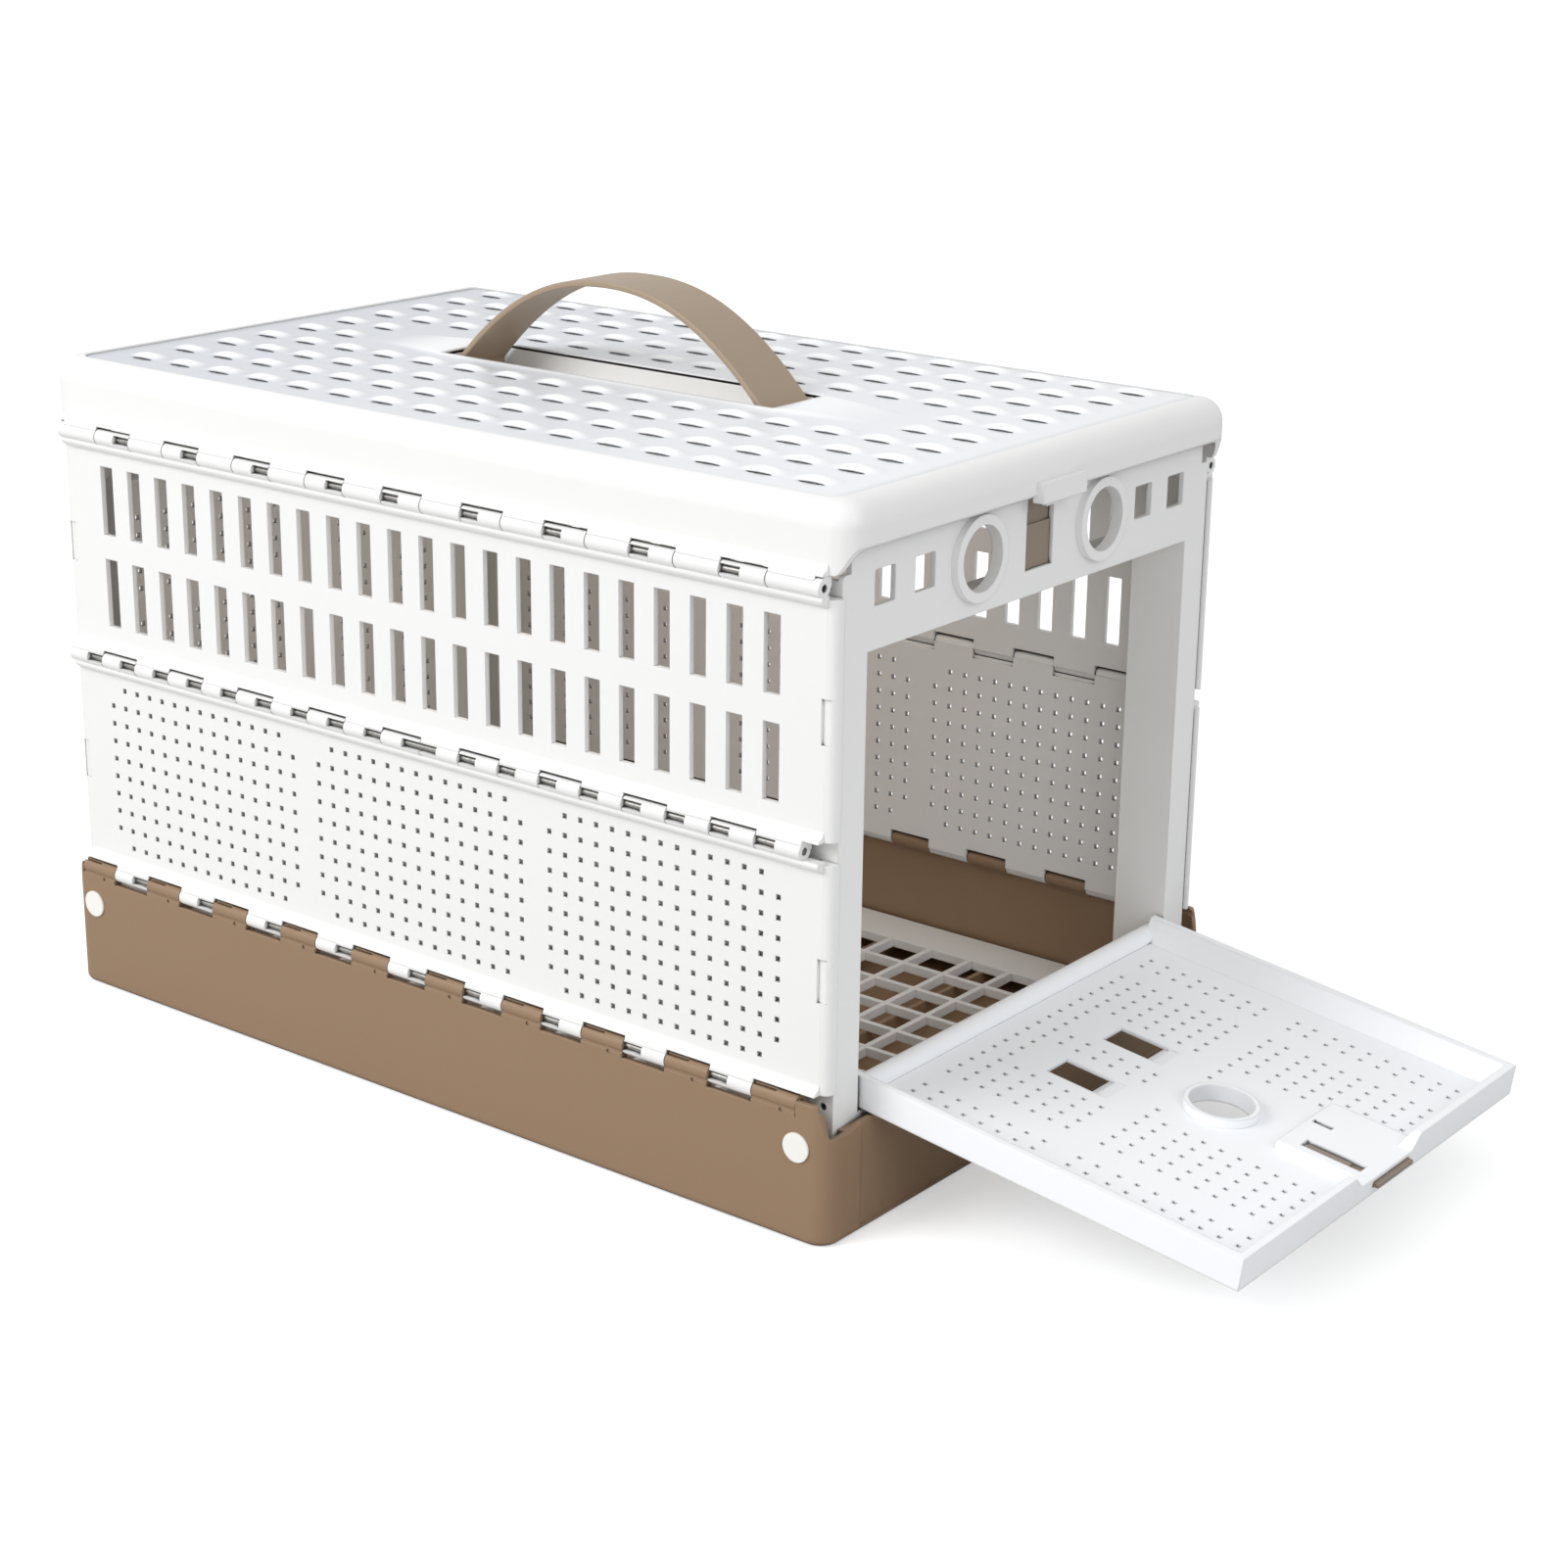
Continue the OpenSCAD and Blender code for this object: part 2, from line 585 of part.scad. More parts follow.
// ---- end frames ----
// Drawing of a frame's face in (y, z).
module frame_outline() {
    step_z = lid_hinge_z + edge_v - 1;
    translate([0, (step_z + pivot_z) / 2]) round_rect(2 * frame_half, step_z - pivot_z, 2);
    // Above the walls the header is narrower, to clear the lid's corners.
    translate([0, (frame_top + pivot_z) / 2]) round_rect(2 * frame_half - 10, frame_top - pivot_z, 3);
}

module header_windows() {
    mid = (open_top + lid_end_z) / 2 + 2;
    for (s = [-1, 1], y = [win_inner, win_outer])
        translate([s * y, mid]) round_rect(win_w, win_h, 0.8);
    for (s = [-1, 1]) translate([s * ring_y, mid - 1]) circle(ring_bore);
    latch_bottom = open_top + 10;
    translate([-latch_w / 2, latch_bottom]) square([latch_w, latch_h]);
    translate([-latch_w / 2 + 0.2, latch_bottom]) square([latch_w * 0.7, frame_top - latch_bottom + 1]);
}

// Stands a drawing in (y, z) at x, thick towards the inside. Built for the +X end.
module face(x, thick) translate([x - thick, 0, 0]) rotate([90, 0, 90]) linear_extrude(thick) children();

module header_rings() {
    mid = (open_top + lid_end_z) / 2 + 1;
    for (s = [-1, 1]) translate([frame_x - skin, s * ring_y, mid]) rotate([0, 90, 0])
        difference() {
            cylinder(r = ring_r, h = skin + 3);
            translate([0, 0, -1]) cylinder(r = ring_bore, h = skin + 6);
        }
}

// Posts, header and sill of an end frame, d deep. The +X end is drawn.
module frame_shell(d) {
    face(frame_x, skin) difference() {
        frame_outline();
        header_windows();
        translate([-open_half, tray_h - 4]) square([2 * open_half, open_top - tray_h + 4]);
    }
    // Jambs, outer sides and the header's shelves, each running back from the skin.
    for (s = [-1, 1]) {
        wall_box(d, s * (open_half + skin / 2), skin, tray_h - 4, open_top + skin);
        wall_box(d, s * (frame_half - skin / 2), skin, pivot_z, lid_hinge_z + edge_v - 3);
    }
    translate([frame_x - d, -open_half - skin, open_top]) cube([d, 2 * (open_half + skin), skin]);
    translate([frame_x - d, -frame_half + 8, frame_top - skin])
        difference() {
            cube([d, 2 * frame_half - 16, skin]);
            translate([d - skin - 9.2, frame_half - 8 - latch_w / 2, -1]) cube([9, latch_w, 9]);
        }
    // Sill between the legs.
    translate([frame_x - 7, -frame_half + 2, pivot_z - 1]) cube([7, 2 * frame_half - 4, 8.5]);
    // Legs and their bosses.
    for (s = [-1, 1]) difference() {
        translate([pivot_x, s * frame_half, pivot_z]) rotate([s > 0 ? 90 : -90, 0, 0])
            cylinder(r = pivot_r + 3.6, h = post_w - 1);
        frame_bores();
    }
    header_rings();
    latch_guides();
}

// An upright wall of a frame: at y, thick across, from z0 to z1.
module wall_box(d, y, thick, z0, z1)
    translate([frame_x - d, y - thick / 2, z0]) cube([d, thick, z1 - z0]);

// Rails behind the header's skin that the frame latch slides in.
latch_low = 6;                              // length of the slide hidden below its window
module latch_guides() {
    z0 = open_top + skin + 2;
    for (s = [-1, 1]) {
        translate([frame_x - skin - latch_t - 0.6 - 1.6, s * (latch_w / 2 + 3.6) - 1, z0])
            cube([latch_t + 2.2 + 0.1, 2, latch_h + 12]);
        translate([frame_x - skin - latch_t - 0.6 - 1.6, s * (latch_w / 2 + 2) - 2.6, z0])
            cube([1.6, 5.2, latch_h + 12]);
    }
}

// Bores and clearances that both frames share.
module frame_bores() {
    translate([pivot_x, -body_w, pivot_z]) rotate([-90, 0, 0]) cylinder(r = pivot_r + run_gap, h = 2 * body_w);
}

module front_frame() color(white) difference() {
    union() {
        frame_shell(frame_d);
        // Bosses for the door's pins inside the posts.
        for (s = [-1, 1]) translate([door_hx, s * open_half, door_hz]) rotate([s > 0 ? -90 : 90, 0, 0])
            cylinder(r = 4, h = post_w - 1);
    }
    frame_bores();
    translate([door_hx, -body_w, door_hz]) rotate([-90, 0, 0]) cylinder(r = rod_r + 0.02, h = 2 * body_w);
    // Mortise in the header's shelf for the door latch.
    translate([door_hx + head_in - 0.4, tongue_y0 - 0.6, open_top - 1])
        cube([head_t + 0.8, tongue_w + 1.2, skin + 2]);
}

field_cols = floor(open_half / pin_pitch) - 1;
field_rows = floor((open_top - 70) / pin_pitch);

module rear_frame() color(white) mirror([1, 0, 0]) {
    difference() {
        frame_shell(rear_d);
        frame_bores();
    }
    // Closed field with pin holes in the opening's place.
    translate([frame_x - 3 - shell, 0, 0]) rotate([90, 0, 90]) linear_extrude(shell) difference() {
        translate([-open_half - 1, pivot_z + 6]) square([2 * open_half + 2, open_top - pivot_z - 5]);
        for (c = [-field_cols : field_cols], r = [0 : field_rows - 1])
            if (c % 9 != 0 && r % 7 != 6)
                translate([c * pin_pitch, 64 + r * pin_pitch]) square(pin_hole, center = true);
    }
}

// Pivot pins with their white heads, one at each side of an end.
module pivot_pins(s) color(cream) for (t = [-1, 1])
    translate([s * pivot_x, t * body_w / 2, pivot_z]) rotate([t > 0 ? -90 : 90, 0, 0]) {
        cylinder(r = pivot_head, h = 0.8);
        translate([0, 0, -(body_w / 2 - frame_half + post_w - 3)])
            cylinder(r = pivot_r, h = body_w / 2 - frame_half + post_w - 3 + eps);
    }

// ---- door ----
// The door is drawn shut, with its hinge axis on the Y axis and Z up, then laid open.
module place_door() translate([door_hx, 0, door_hz]) rotate([0, 90 + door_droop, 0]) children();

slot_a = 22.5;                              // finger slots near the hinge, without their ramps
slot_b = 15;
slot_u = 0.291 * door_l;
slot_y = 20.4;
ramp_l = 6;                                 // ramp at each finger slot's end
port_u = 0.593 * door_l;                    // height of the port above the hinge
port_y = -4;                                // the port and the slots stand a little to one side
bolt_u = door_l - 30;                       // lower end of the latch's head above the hinge
head_t = 1.7;                               // thickness of the latch's head and tongue
head_in = panel_in - 0.3 - head_t;
tongue_y0 = -10;                            // the tongue stands a little to one side
tongue_w = 28;
case_y0 = -14;                              // the white case over the latch's head
case_w = 44;
case_in = head_in - 0.3 - 1.6;
case_slot_y = -9.8;
stem_w = 7;                                 // stem between the head and the thumb plate
stem_l = 14;
plate_w = 12;                               // thumb plate on the door's outer side
plate_l = 26;

// Drawing of the door's panel in (y, height above the hinge).
module door_outline() difference() {
    translate([-door_half, 3]) square([2 * door_half, door_l - 3]);
    for (s = [-1, 1]) translate([port_y + s * slot_y, slot_u]) square([slot_b, slot_a], center = true);
    translate([port_y, port_u]) circle(port_bore);
    // Way of the latch's stem.
    translate([-stem_w / 2 - 0.3, bolt_u - 0.3]) square([stem_w + 0.6, stem_l + bolt_travel + 0.6]);
    door_holes();
}

// Pin holes in rows, left out round the slots, the port and the latch, in one column on
// each side and in the row between the slots and the port.
module door_holes() {
    cols = floor((door_half - 18) / door_pitch);
    row_pitch = 1.01 * door_pitch;
    rows = floor((door_l - 20) / row_pitch);
    for (c = [-cols : cols], r = [0 : rows - 1]) {
        y = c * door_pitch;
        u = 13.8 + r * row_pitch + (r > 10 ? 1.6 : 0);
        near_slot = abs(abs(y - port_y) - slot_y) < slot_b / 2 + 3.5 && abs(u - slot_u) < slot_a / 2 + 10;
        near_port = norm([y - port_y, u - port_u]) < port_r + 10;
        near_bolt = y > port_y - 21 && y < case_y0 + case_w + (u < bolt_u - 10 ? -5 : 3) && u > port_u - 12;
        if (!near_slot && !near_port && !near_bolt && abs(c) != cols - 2 && r != 8)
            translate([y, u]) square(1.8, center = true);
    }
}

// Ramps that run down into the finger slots at their far ends.
module slot_ramps() for (s = [-1, 1])
    translate([0, port_y + s * slot_y + slot_b / 2, slot_u + slot_a / 2]) rotate([90, 0, 0])
        linear_extrude(slot_b)
            polygon([[panel_in - 1, -1], [panel_out - 0.5, -1], [panel_out - 0.5, 0], [panel_in, ramp_l],
                [panel_in - 1, ramp_l]]);

// Section of the rim: w outwards from the edge, and the slope down to the panel.
module rim_section() polygon([[0, -door_in], [3.4, -door_in], [8, panel_in], [8, panel_out],
    [2.4, panel_out], [2.4, door_t - door_in], [0, door_t - door_in]]);

module door_panel() color(white) place_door() {
    difference() {
        translate([panel_in, 0, 0]) rotate([90, 0, 90]) linear_extrude(panel_out - panel_in) door_outline();
        slot_ramps();
    }
    difference() {
        union() {
            difference() {
                door_rims();
                rim_dip();
            }
            latch_case();
        }
        translate([0, -body_w, 0]) rotate([-90, 0, 0]) cylinder(r = rod_r + run_gap, h = 2 * body_w);
        // Way of the latch's head and tongue, under the case and through the rim.
        translate([head_in - 0.3, case_y0 + 1.6, bolt_u - 0.8])
            cube([head_t + 0.7, case_w - 3.2, 20 + bolt_travel]);
        translate([head_in - 0.3, tongue_y0 - 0.4, bolt_u])
            cube([head_t + 0.7, tongue_w + 0.8, 60]);
    }
}

// Dip in the free rim over the latch.
module rim_dip()
    translate([0, 0, door_l - 9]) linear_extrude(20)
        rotate(90) mirror([0, 1])
            polygon(concat([[-30, -door_in - 5]], s_curve(-27, -door_in, -19, case_in),
                s_curve(19, case_in, 27, -door_in), [[30, -door_in - 5]]));

// White case over the latch's head, with the slot that the thumb ridge moves in.
module latch_case() difference() {
    translate([case_in, case_y0, bolt_u - 10]) cube([panel_in - case_in + eps, case_w, door_l - bolt_u + 7]);
    translate([case_in - 1, case_slot_y, bolt_u - 2]) cube([3, 6, 25 + bolt_travel]);
    translate([case_in - 1, 10, bolt_u - 8]) cube([3, 2.6, 8.5]);
}

// Rims, hinge roll, collar and rails of the door.
module door_rims() {
    for (s = [-1, 1]) mirror([0, s > 0 ? 1 : 0, 0])
        translate([0, -door_half, 0]) rotate([0, 0, 90]) mirror([0, 1, 0])
            linear_extrude(door_l) rim_section();
    translate([0, -door_half, door_l]) rotate([-90, 0, 0]) rotate([0, 0, 90]) mirror([0, 1, 0])
        linear_extrude(2 * door_half) rim_section();
    // Hinge roll, and the strip that joins it to the panel.
    translate([0, -door_half, 0]) rotate([-90, 0, 0]) cylinder(r = 4.4, h = 2 * door_half);
    translate([panel_in, -door_half, 0]) cube([panel_out - panel_in, 2 * door_half, 5]);
    // Collar of the port.
    translate([panel_in - 3.8, port_y, port_u]) rotate([0, 90, 0]) difference() {
        cylinder(r = port_r, h = panel_out - panel_in + 5.7);
        translate([0, 0, -1]) cylinder(r = port_bore, h = 40);
    }
    // Rails beside the thumb plate.
    for (s = [-1, 1])
        translate([panel_out - eps, s * (plate_w / 2 + 1.4) - 1, bolt_u - 10]) cube([2.6, 2, 34]);
}

module door_hinge_pins() color(steel) for (s = [-1, 1])
    translate([door_hx, s * (open_half - 16), door_hz]) rotate([s > 0 ? -90 : 90, 0, 0])
        cylinder(r = rod_r, h = 16 + post_w - 3);

// Slide bolt of the door: a ribbed thumb plate on the outer side, a stem through the
// panel, and under the case a head with a ridge on it and a tongue through the rim.
module door_latch() color(tan_c) place_door() {
    translate([panel_out + 0.3, -plate_w / 2, bolt_u - 6]) cube([2.4, plate_w, plate_l]);
    for (i = [0 : 3])
        translate([panel_out + 0.9, -plate_w / 2 + 1, bolt_u - 3 + 5 * i]) cube([2.4, plate_w - 2, 1.4]);
    translate([head_in + 0.2, -stem_w / 2, bolt_u]) cube([panel_out + 0.5 - head_in, stem_w, stem_l]);
    translate([head_in, case_y0 + 2, bolt_u]) cube([head_t, case_w - 4, 19]);
    translate([head_in, tongue_y0, bolt_u + 10]) cube([head_t, tongue_w, door_l + bolt_out - bolt_u - 10]);
    translate([case_in + 0.3, case_slot_y + 0.4, bolt_u]) cube([head_in - case_in, 3.2, 18.5]);
}

// Frame latch: a plate behind the header's window, with a tongue towards the lid.
module frame_latch() {
    x1 = frame_x - skin - 0.3;
    z0 = open_top + 10 - latch_low;
    translate([x1 - latch_t, -latch_w / 2 - 2, z0]) cube([latch_t, latch_w + 4, latch_h + latch_low + 1]);
    translate([x1 - latch_t, -latch_w / 2 + 3, z0]) cube([latch_t, latch_w - 6, frame_top - z0]);
    translate([x1 - eps, -latch_w / 2 + 0.6, open_top + 10.3]) cube([1.2, latch_w - 1.2, latch_h - 6]);
}

module front_latch() color(tan_c) frame_latch();
module rear_latch() color(tan_c) mirror([1, 0, 0]) frame_latch();

base_tray();
floor_grid();
lower_wall(-1);  // left_lower_wall
upper_wall(-1);  // left_upper_wall
lower_wall(1);  // right_lower_wall
upper_wall(1);  // right_upper_wall
lid_cover();
handle_strap();
hinge_rod(-1, base_hinge_z, row_shift);  // left_base_rod
hinge_rod(-1, mid_hinge_z, row_shift);  // left_middle_rod
hinge_rod(-1, lid_hinge_z, 0);  // left_lid_rod
hinge_rod(1, base_hinge_z, row_shift);  // right_base_rod
hinge_rod(1, mid_hinge_z, row_shift);  // right_middle_rod
hinge_rod(1, lid_hinge_z, 0);  // right_lid_rod
front_frame();
rear_frame();
pivot_pins(1);  // front_pivot_pins
pivot_pins(-1);  // rear_pivot_pins
door_panel();
door_hinge_pins();
door_latch();
front_latch();
rear_latch();
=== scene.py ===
"""Looks of a folding bird travel carrier: brown tray, hinged white walls, woven-look lid,
strap handle, and an end frame at each end, the front one with a ramp door."""

import math

import bmesh
import bpy
from mathutils import Euler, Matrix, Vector


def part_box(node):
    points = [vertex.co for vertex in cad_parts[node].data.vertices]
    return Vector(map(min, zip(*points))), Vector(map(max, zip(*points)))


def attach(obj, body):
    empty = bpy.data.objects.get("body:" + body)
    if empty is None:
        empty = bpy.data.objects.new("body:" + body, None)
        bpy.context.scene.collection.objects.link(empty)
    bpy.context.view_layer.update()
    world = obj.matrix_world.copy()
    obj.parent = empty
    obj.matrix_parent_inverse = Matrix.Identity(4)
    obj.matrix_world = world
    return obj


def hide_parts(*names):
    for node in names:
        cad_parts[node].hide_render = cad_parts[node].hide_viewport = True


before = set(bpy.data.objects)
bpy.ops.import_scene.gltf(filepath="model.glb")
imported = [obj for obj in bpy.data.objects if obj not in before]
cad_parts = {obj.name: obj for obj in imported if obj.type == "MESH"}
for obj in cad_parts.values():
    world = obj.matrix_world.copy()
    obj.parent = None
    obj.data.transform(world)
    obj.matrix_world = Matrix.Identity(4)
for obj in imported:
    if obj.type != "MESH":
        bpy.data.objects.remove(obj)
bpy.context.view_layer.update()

# ---- view ----
# The photograph's own view: from the front left, a little above the lid, with a
# long lens from about 1.4 m away.

camera = bpy.data.cameras.new("view")
camera.lens = 69.43
camera.sensor_width = 36
camera.clip_start = 0.05
camera.clip_end = 60
camera_object = bpy.data.objects.new("view", camera)
camera_object.location = (0.82944, -0.95677, 0.52824)
camera_object.rotation_euler = Euler([math.radians(turn) for turn in (71.5244, -0.7203, 38.0783)])
bpy.context.scene.collection.objects.link(camera_object)
bpy.context.scene.camera = camera_object


# ---- base tray ----
# The brown tray that the carrier stands on: moulded polypropylene with a fine matt
# grain, with a painted highlight that makes its edges slightly lighter.

class Wire:
    """A shader socket that takes part in ordinary arithmetic."""

    def __init__(self, tree, socket):
        self.tree = tree
        self.socket = socket

    def combine(self, operation, first, second):
        node = self.tree.nodes.new("ShaderNodeMath")
        node.operation = operation
        for place, value in enumerate((first, second)):
            if isinstance(value, Wire):
                self.tree.links.new(value.socket, node.inputs[place])
            else:
                node.inputs[place].default_value = value
        return Wire(self.tree, node.outputs[0])

    def __add__(self, other):
        return self.combine("ADD", self, other)

    def __radd__(self, other):
        return self.combine("ADD", other, self)

    def __sub__(self, other):
        return self.combine("SUBTRACT", self, other)

    def __rsub__(self, other):
        return self.combine("SUBTRACT", other, self)

    def __mul__(self, other):
        return self.combine("MULTIPLY", self, other)

    def __rmul__(self, other):
        return self.combine("MULTIPLY", other, self)

    def clamp(self):
        return self.combine("MINIMUM", self.combine("MAXIMUM", self, 0.0), 1.0)


class Finish:
    """The nodes of one material or of the sky, and a method for any node that feeds them."""

    def __init__(self, owner, shader, **constants):
        owner.use_nodes = True
        self.owner = owner
        self.tree = owner.node_tree
        self.shader = self.tree.nodes[shader]
        self.feed(self.shader, constants)

    def feed(self, node, values):
        for name, value in values.items():
            socket = node.inputs[name]
            if isinstance(value, Wire):
                self.tree.links.new(value.socket, socket)
            else:
                socket.default_value = value

    def node(self, kind, settings, values, output=0):
        made = self.tree.nodes.new("ShaderNode" + kind)
        for name, value in settings.items():
            setattr(made, name, value)
        self.feed(made, values)
        return Wire(self.tree, made.outputs[output])

    def place(self):
        return self.node("TexCoord", {}, {}, "Object")

    def noise(self, scale, detail=3.0, roughness=0.5, stretch=(1, 1, 1)):
        where = self.node("Mapping", {}, {"Vector": self.place(), "Scale": stretch})
        values = {"Vector": where, "Scale": scale, "Detail": detail, "Roughness": roughness}
        return self.node("TexNoise", {}, values)

    def mix(self, factor, first, second):
        factor_socket, first_socket, second_socket, colour_out = 0, 6, 7, 2
        values = {factor_socket: factor, first_socket: first, second_socket: second}
        return self.node("Mix", {"data_type": "RGBA"}, values, colour_out)

    def edge(self, radius):
        """1 on edges sharper than the radius and 0 on the flats, with the rounded normal."""
        rounded = self.node("Bevel", {"samples": 6}, {"Radius": radius})
        flat = self.node("NewGeometry", {}, {}, "True Normal")
        alike = self.node("VectorMath", {"operation": "DOT_PRODUCT"}, {0: rounded, 1: flat}, "Value")
        return ((1.0 - alike) * 6.0).clamp(), rounded

    def crevice_shade(self):
        """Mask of painted shade: 1 in holes and gaps of a few millimetres, and 0 on open faces and in plain
        corners.
        """
        share = self.node("AmbientOcclusion", {"samples": 8}, {"Distance": 0.0045}, "AO")
        return ((0.5 - share) * 4.6).clamp()

    def grained(self, scale, rounded):
        """The normal of a spark-eroded surface with rounded edges."""
        depth = 0.00002
        fine = self.noise(scale, 2.0)
        return self.node("Bump", {}, {"Strength": 0.6, "Distance": depth, "Height": fine, "Normal": rounded})

    def done(self, **links):
        self.feed(self.shader, links)
        return self.owner


def srgb(red, green, blue):
    """A colour as it is read off a screen, 0 to 255, as the shader wants it."""
    return tuple(((c / 255 + 0.055) / 1.055) ** 2.4 for c in (red, green, blue)) + (1.0,)


def moulded(name, colour, flow_tone_and_edge_highlight, shade, roughness, grain, edge_radius=0.0006):
    """Injection-moulded plastic: fine eroded grain, faint flow marks, soft edges with a painted highlight,
    and painted shade in holes and gaps.
    """
    mottle = 0.05
    paint = Finish(bpy.data.materials.new(name), "Principled BSDF", Metallic=0.0, IOR=1.46)
    edges, rounded = paint.edge(edge_radius)
    flow = paint.noise(9.0, 4.0, 0.6, (1, 1, 3))
    scuffs = paint.noise(90.0, 6.0, 0.7, (4, 1, 1))
    base = paint.mix((flow - 0.5) * mottle + 0.5 * mottle, colour, flow_tone_and_edge_highlight)
    # Painted highlight: edges are lighter.
    base = paint.mix(edges * 0.35, base, flow_tone_and_edge_highlight)
    # Painted shade: holes and gaps are darkened towards the shade colour.
    base = paint.mix(paint.crevice_shade() * 0.9, base, shade)
    rough = roughness + (scuffs - 0.5) * 0.12 - edges * 0.08
    return paint.done(**{"Base Color": base, "Roughness": rough, "Normal": paint.grained(grain, rounded)})


def cover(material, *names):
    """Gives CAD pieces a material in every one of their slots."""
    for name in names:
        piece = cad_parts[name]
        piece.data.materials.clear()
        piece.data.materials.append(material)


tray_brown = moulded(
    "tray_brown", srgb(146, 119, 93), srgb(178, 154, 130), srgb(48, 34, 26), 0.52, 1400.0, edge_radius=0.0008
)
cover(tray_brown, "base_tray")

# ---- white shells ----
# Walls, lid, end frames and floor grid are moulded in one white polypropylene, with a
# satin surface that is close to neutral.

shell_white = moulded("shell_white", srgb(237, 237, 236), srgb(247, 247, 247), srgb(30, 27, 25), 0.42, 1600.0)
cover(
    shell_white,
    "left_lower_wall", "left_upper_wall", "right_lower_wall", "right_upper_wall",
    "lid_cover", "front_frame", "rear_frame", "floor_grid",
)

# ---- ramp door ----
# The same plastic as the walls, with painted light that makes it lighter and cooler than them, and softer
# edges, since it serves as a ramp.
# The door hangs on two steel pins in the front frame.

door_painted_light = moulded(
    "door_painted_light", srgb(249, 251, 254), srgb(253, 254, 255), srgb(44, 42, 42), 0.40, 1600.0, edge_radius=0.0011
)
cover(door_painted_light, "door_panel")

# ---- pivot pins ----
# White pins pressed through the tray's sides, which the end frames turn on. They are
# moulded in a slightly creamier plastic than the walls.

cover(
    moulded("pin_white", srgb(243, 241, 235), srgb(250, 249, 247), srgb(90, 84, 78), 0.38, 1600.0),
    "front_pivot_pins", "rear_pivot_pins",
)

# ---- hinge rods ----
# Drawn steel wire, 3 mm thick, pushed through the knuckles from one end. It is greyed
# by oxide and by the marks of the drawing die.

def drawn_steel(name):
    paint = Finish(bpy.data.materials.new(name), "Principled BSDF", Metallic=1.0)
    streaks = paint.noise(500.0, 4.0, 0.6, (0.08, 1, 1))
    spots = paint.noise(700.0, 3.0, 0.8)
    base = paint.mix(spots, srgb(98, 96, 94), srgb(196, 194, 190))
    bump = paint.node("Bump", {}, {"Strength": 0.5, "Distance": 0.00004, "Height": streaks})
    return paint.done(**{"Base Color": base, "Roughness": 0.28 + streaks * 0.2, "Normal": bump})


cover(
    drawn_steel("rod_steel"),
    "left_base_rod", "left_middle_rod", "left_lid_rod",
    "right_base_rod", "right_middle_rod", "right_lid_rod", "door_hinge_pins",
)

# ---- latches ----
# Slides of the end frames and of the door, moulded in a tan plastic and held by small
# detents in their rails.

cover(
    moulded("latch_tan", srgb(140, 126, 112), srgb(172, 158, 144), srgb(50, 42, 36), 0.45, 1400.0),
    "front_latch", "rear_latch", "door_latch",
)

# ---- handle strap ----
# A flexible strap that bends in one arch from end to end of the lid's recess. Its feet
# pass through the recess's floor and end in a cross bar under it.

def lay_grid(columns, rows, spot):
    """A sheet of quads whose vertices stand where spot(column, row) says."""
    sheet = bmesh.new()
    bmesh.ops.create_grid(sheet, x_segments=columns - 1, y_segments=rows - 1, size=1.0)
    for vert in sheet.verts:
        column = round((vert.co.x + 1) / 2 * (columns - 1))
        row = round((vert.co.y + 1) / 2 * (rows - 1))
        vert.co = Vector(spot(column, row))
    return sheet


def link_mesh(name, shape, material):
    """Makes an object of a finished bmesh and puts it in the scene."""
    mesh = bpy.data.meshes.new(name)
    shape.to_mesh(mesh)
    shape.free()
    mesh.materials.append(material)
    piece = bpy.data.objects.new(name, mesh)
    bpy.context.scene.collection.objects.link(piece)
    return piece


def strap_shape():
    low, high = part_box("handle_strap")
    wide, thick = 0.030, 0.0026
    reach = 0.087
    seat = 0.2818
    steps = 64
    crown = high[2] - thick / 2 - seat - thick / 2
    foot = [(reach, seat - 0.004), (reach, low[2] + 0.002)]
    line = [(-x, z) for x, z in reversed(foot)]
    for step in range(steps + 1):
        x = -reach + 2 * reach * step / steps
        line.append((x, seat + thick / 2 + crown * (1 - abs(x / reach) ** 2.2)))
    line += foot
    across = [-0.5, -0.47, -0.25, 0.0, 0.25, 0.47, 0.5]
    shape = lay_grid(len(line), len(across), lambda i, j: (line[i][0], wide * across[j], line[i][1]))
    bmesh.ops.recalc_face_normals(shape, faces=shape.faces)
    bmesh.ops.solidify(shape, geom=shape.faces[:], thickness=thick)
    # Cross bars under the recess's floor.
    bar_long, bar_wide, bar_high = 0.008, 0.036, 0.003
    for side in (-1, 1):
        bar = bmesh.ops.create_cube(shape, size=1.0)["verts"]
        bmesh.ops.scale(shape, verts=bar, vec=(bar_long, bar_wide, bar_high))
        bmesh.ops.translate(shape, verts=bar, vec=(side * reach, 0, low[2] + bar_high / 2))
    bmesh.ops.recalc_face_normals(shape, faces=shape.faces)
    return shape


strap = link_mesh(
    "strap_band",
    strap_shape(),
    moulded("strap_tan", srgb(160, 141, 120), srgb(196, 176, 154), srgb(60, 46, 36), 0.46, 1100.0, 0.0007),
)
softened = strap.modifiers.new("edges", "BEVEL")
softened.width = 0.0007
softened.segments = 3
softened.limit_method = "ANGLE"
softened.angle_limit = math.radians(40)
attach(strap, "carrier")
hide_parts("handle_strap")

# ---- hinge webs ----
# On each hinge line the knuckles of the piece above run up into its lip without a
# groove, and the piece below ends in a narrow flared rail under the whole row.

def pull_bar(shape, section, side, x0, x1):
    """Adds a bar along X between two ends, its section given as (outward, up) in metres."""
    face = shape.faces.new([shape.verts.new((x0, side * out, up)) for out, up in section])
    pulled = bmesh.ops.extrude_face_region(shape, geom=[face])["geom"]
    far_end = [part for part in pulled if isinstance(part, bmesh.types.BMVert)]
    bmesh.ops.translate(shape, verts=far_end, vec=(x1 - x0, 0, 0))


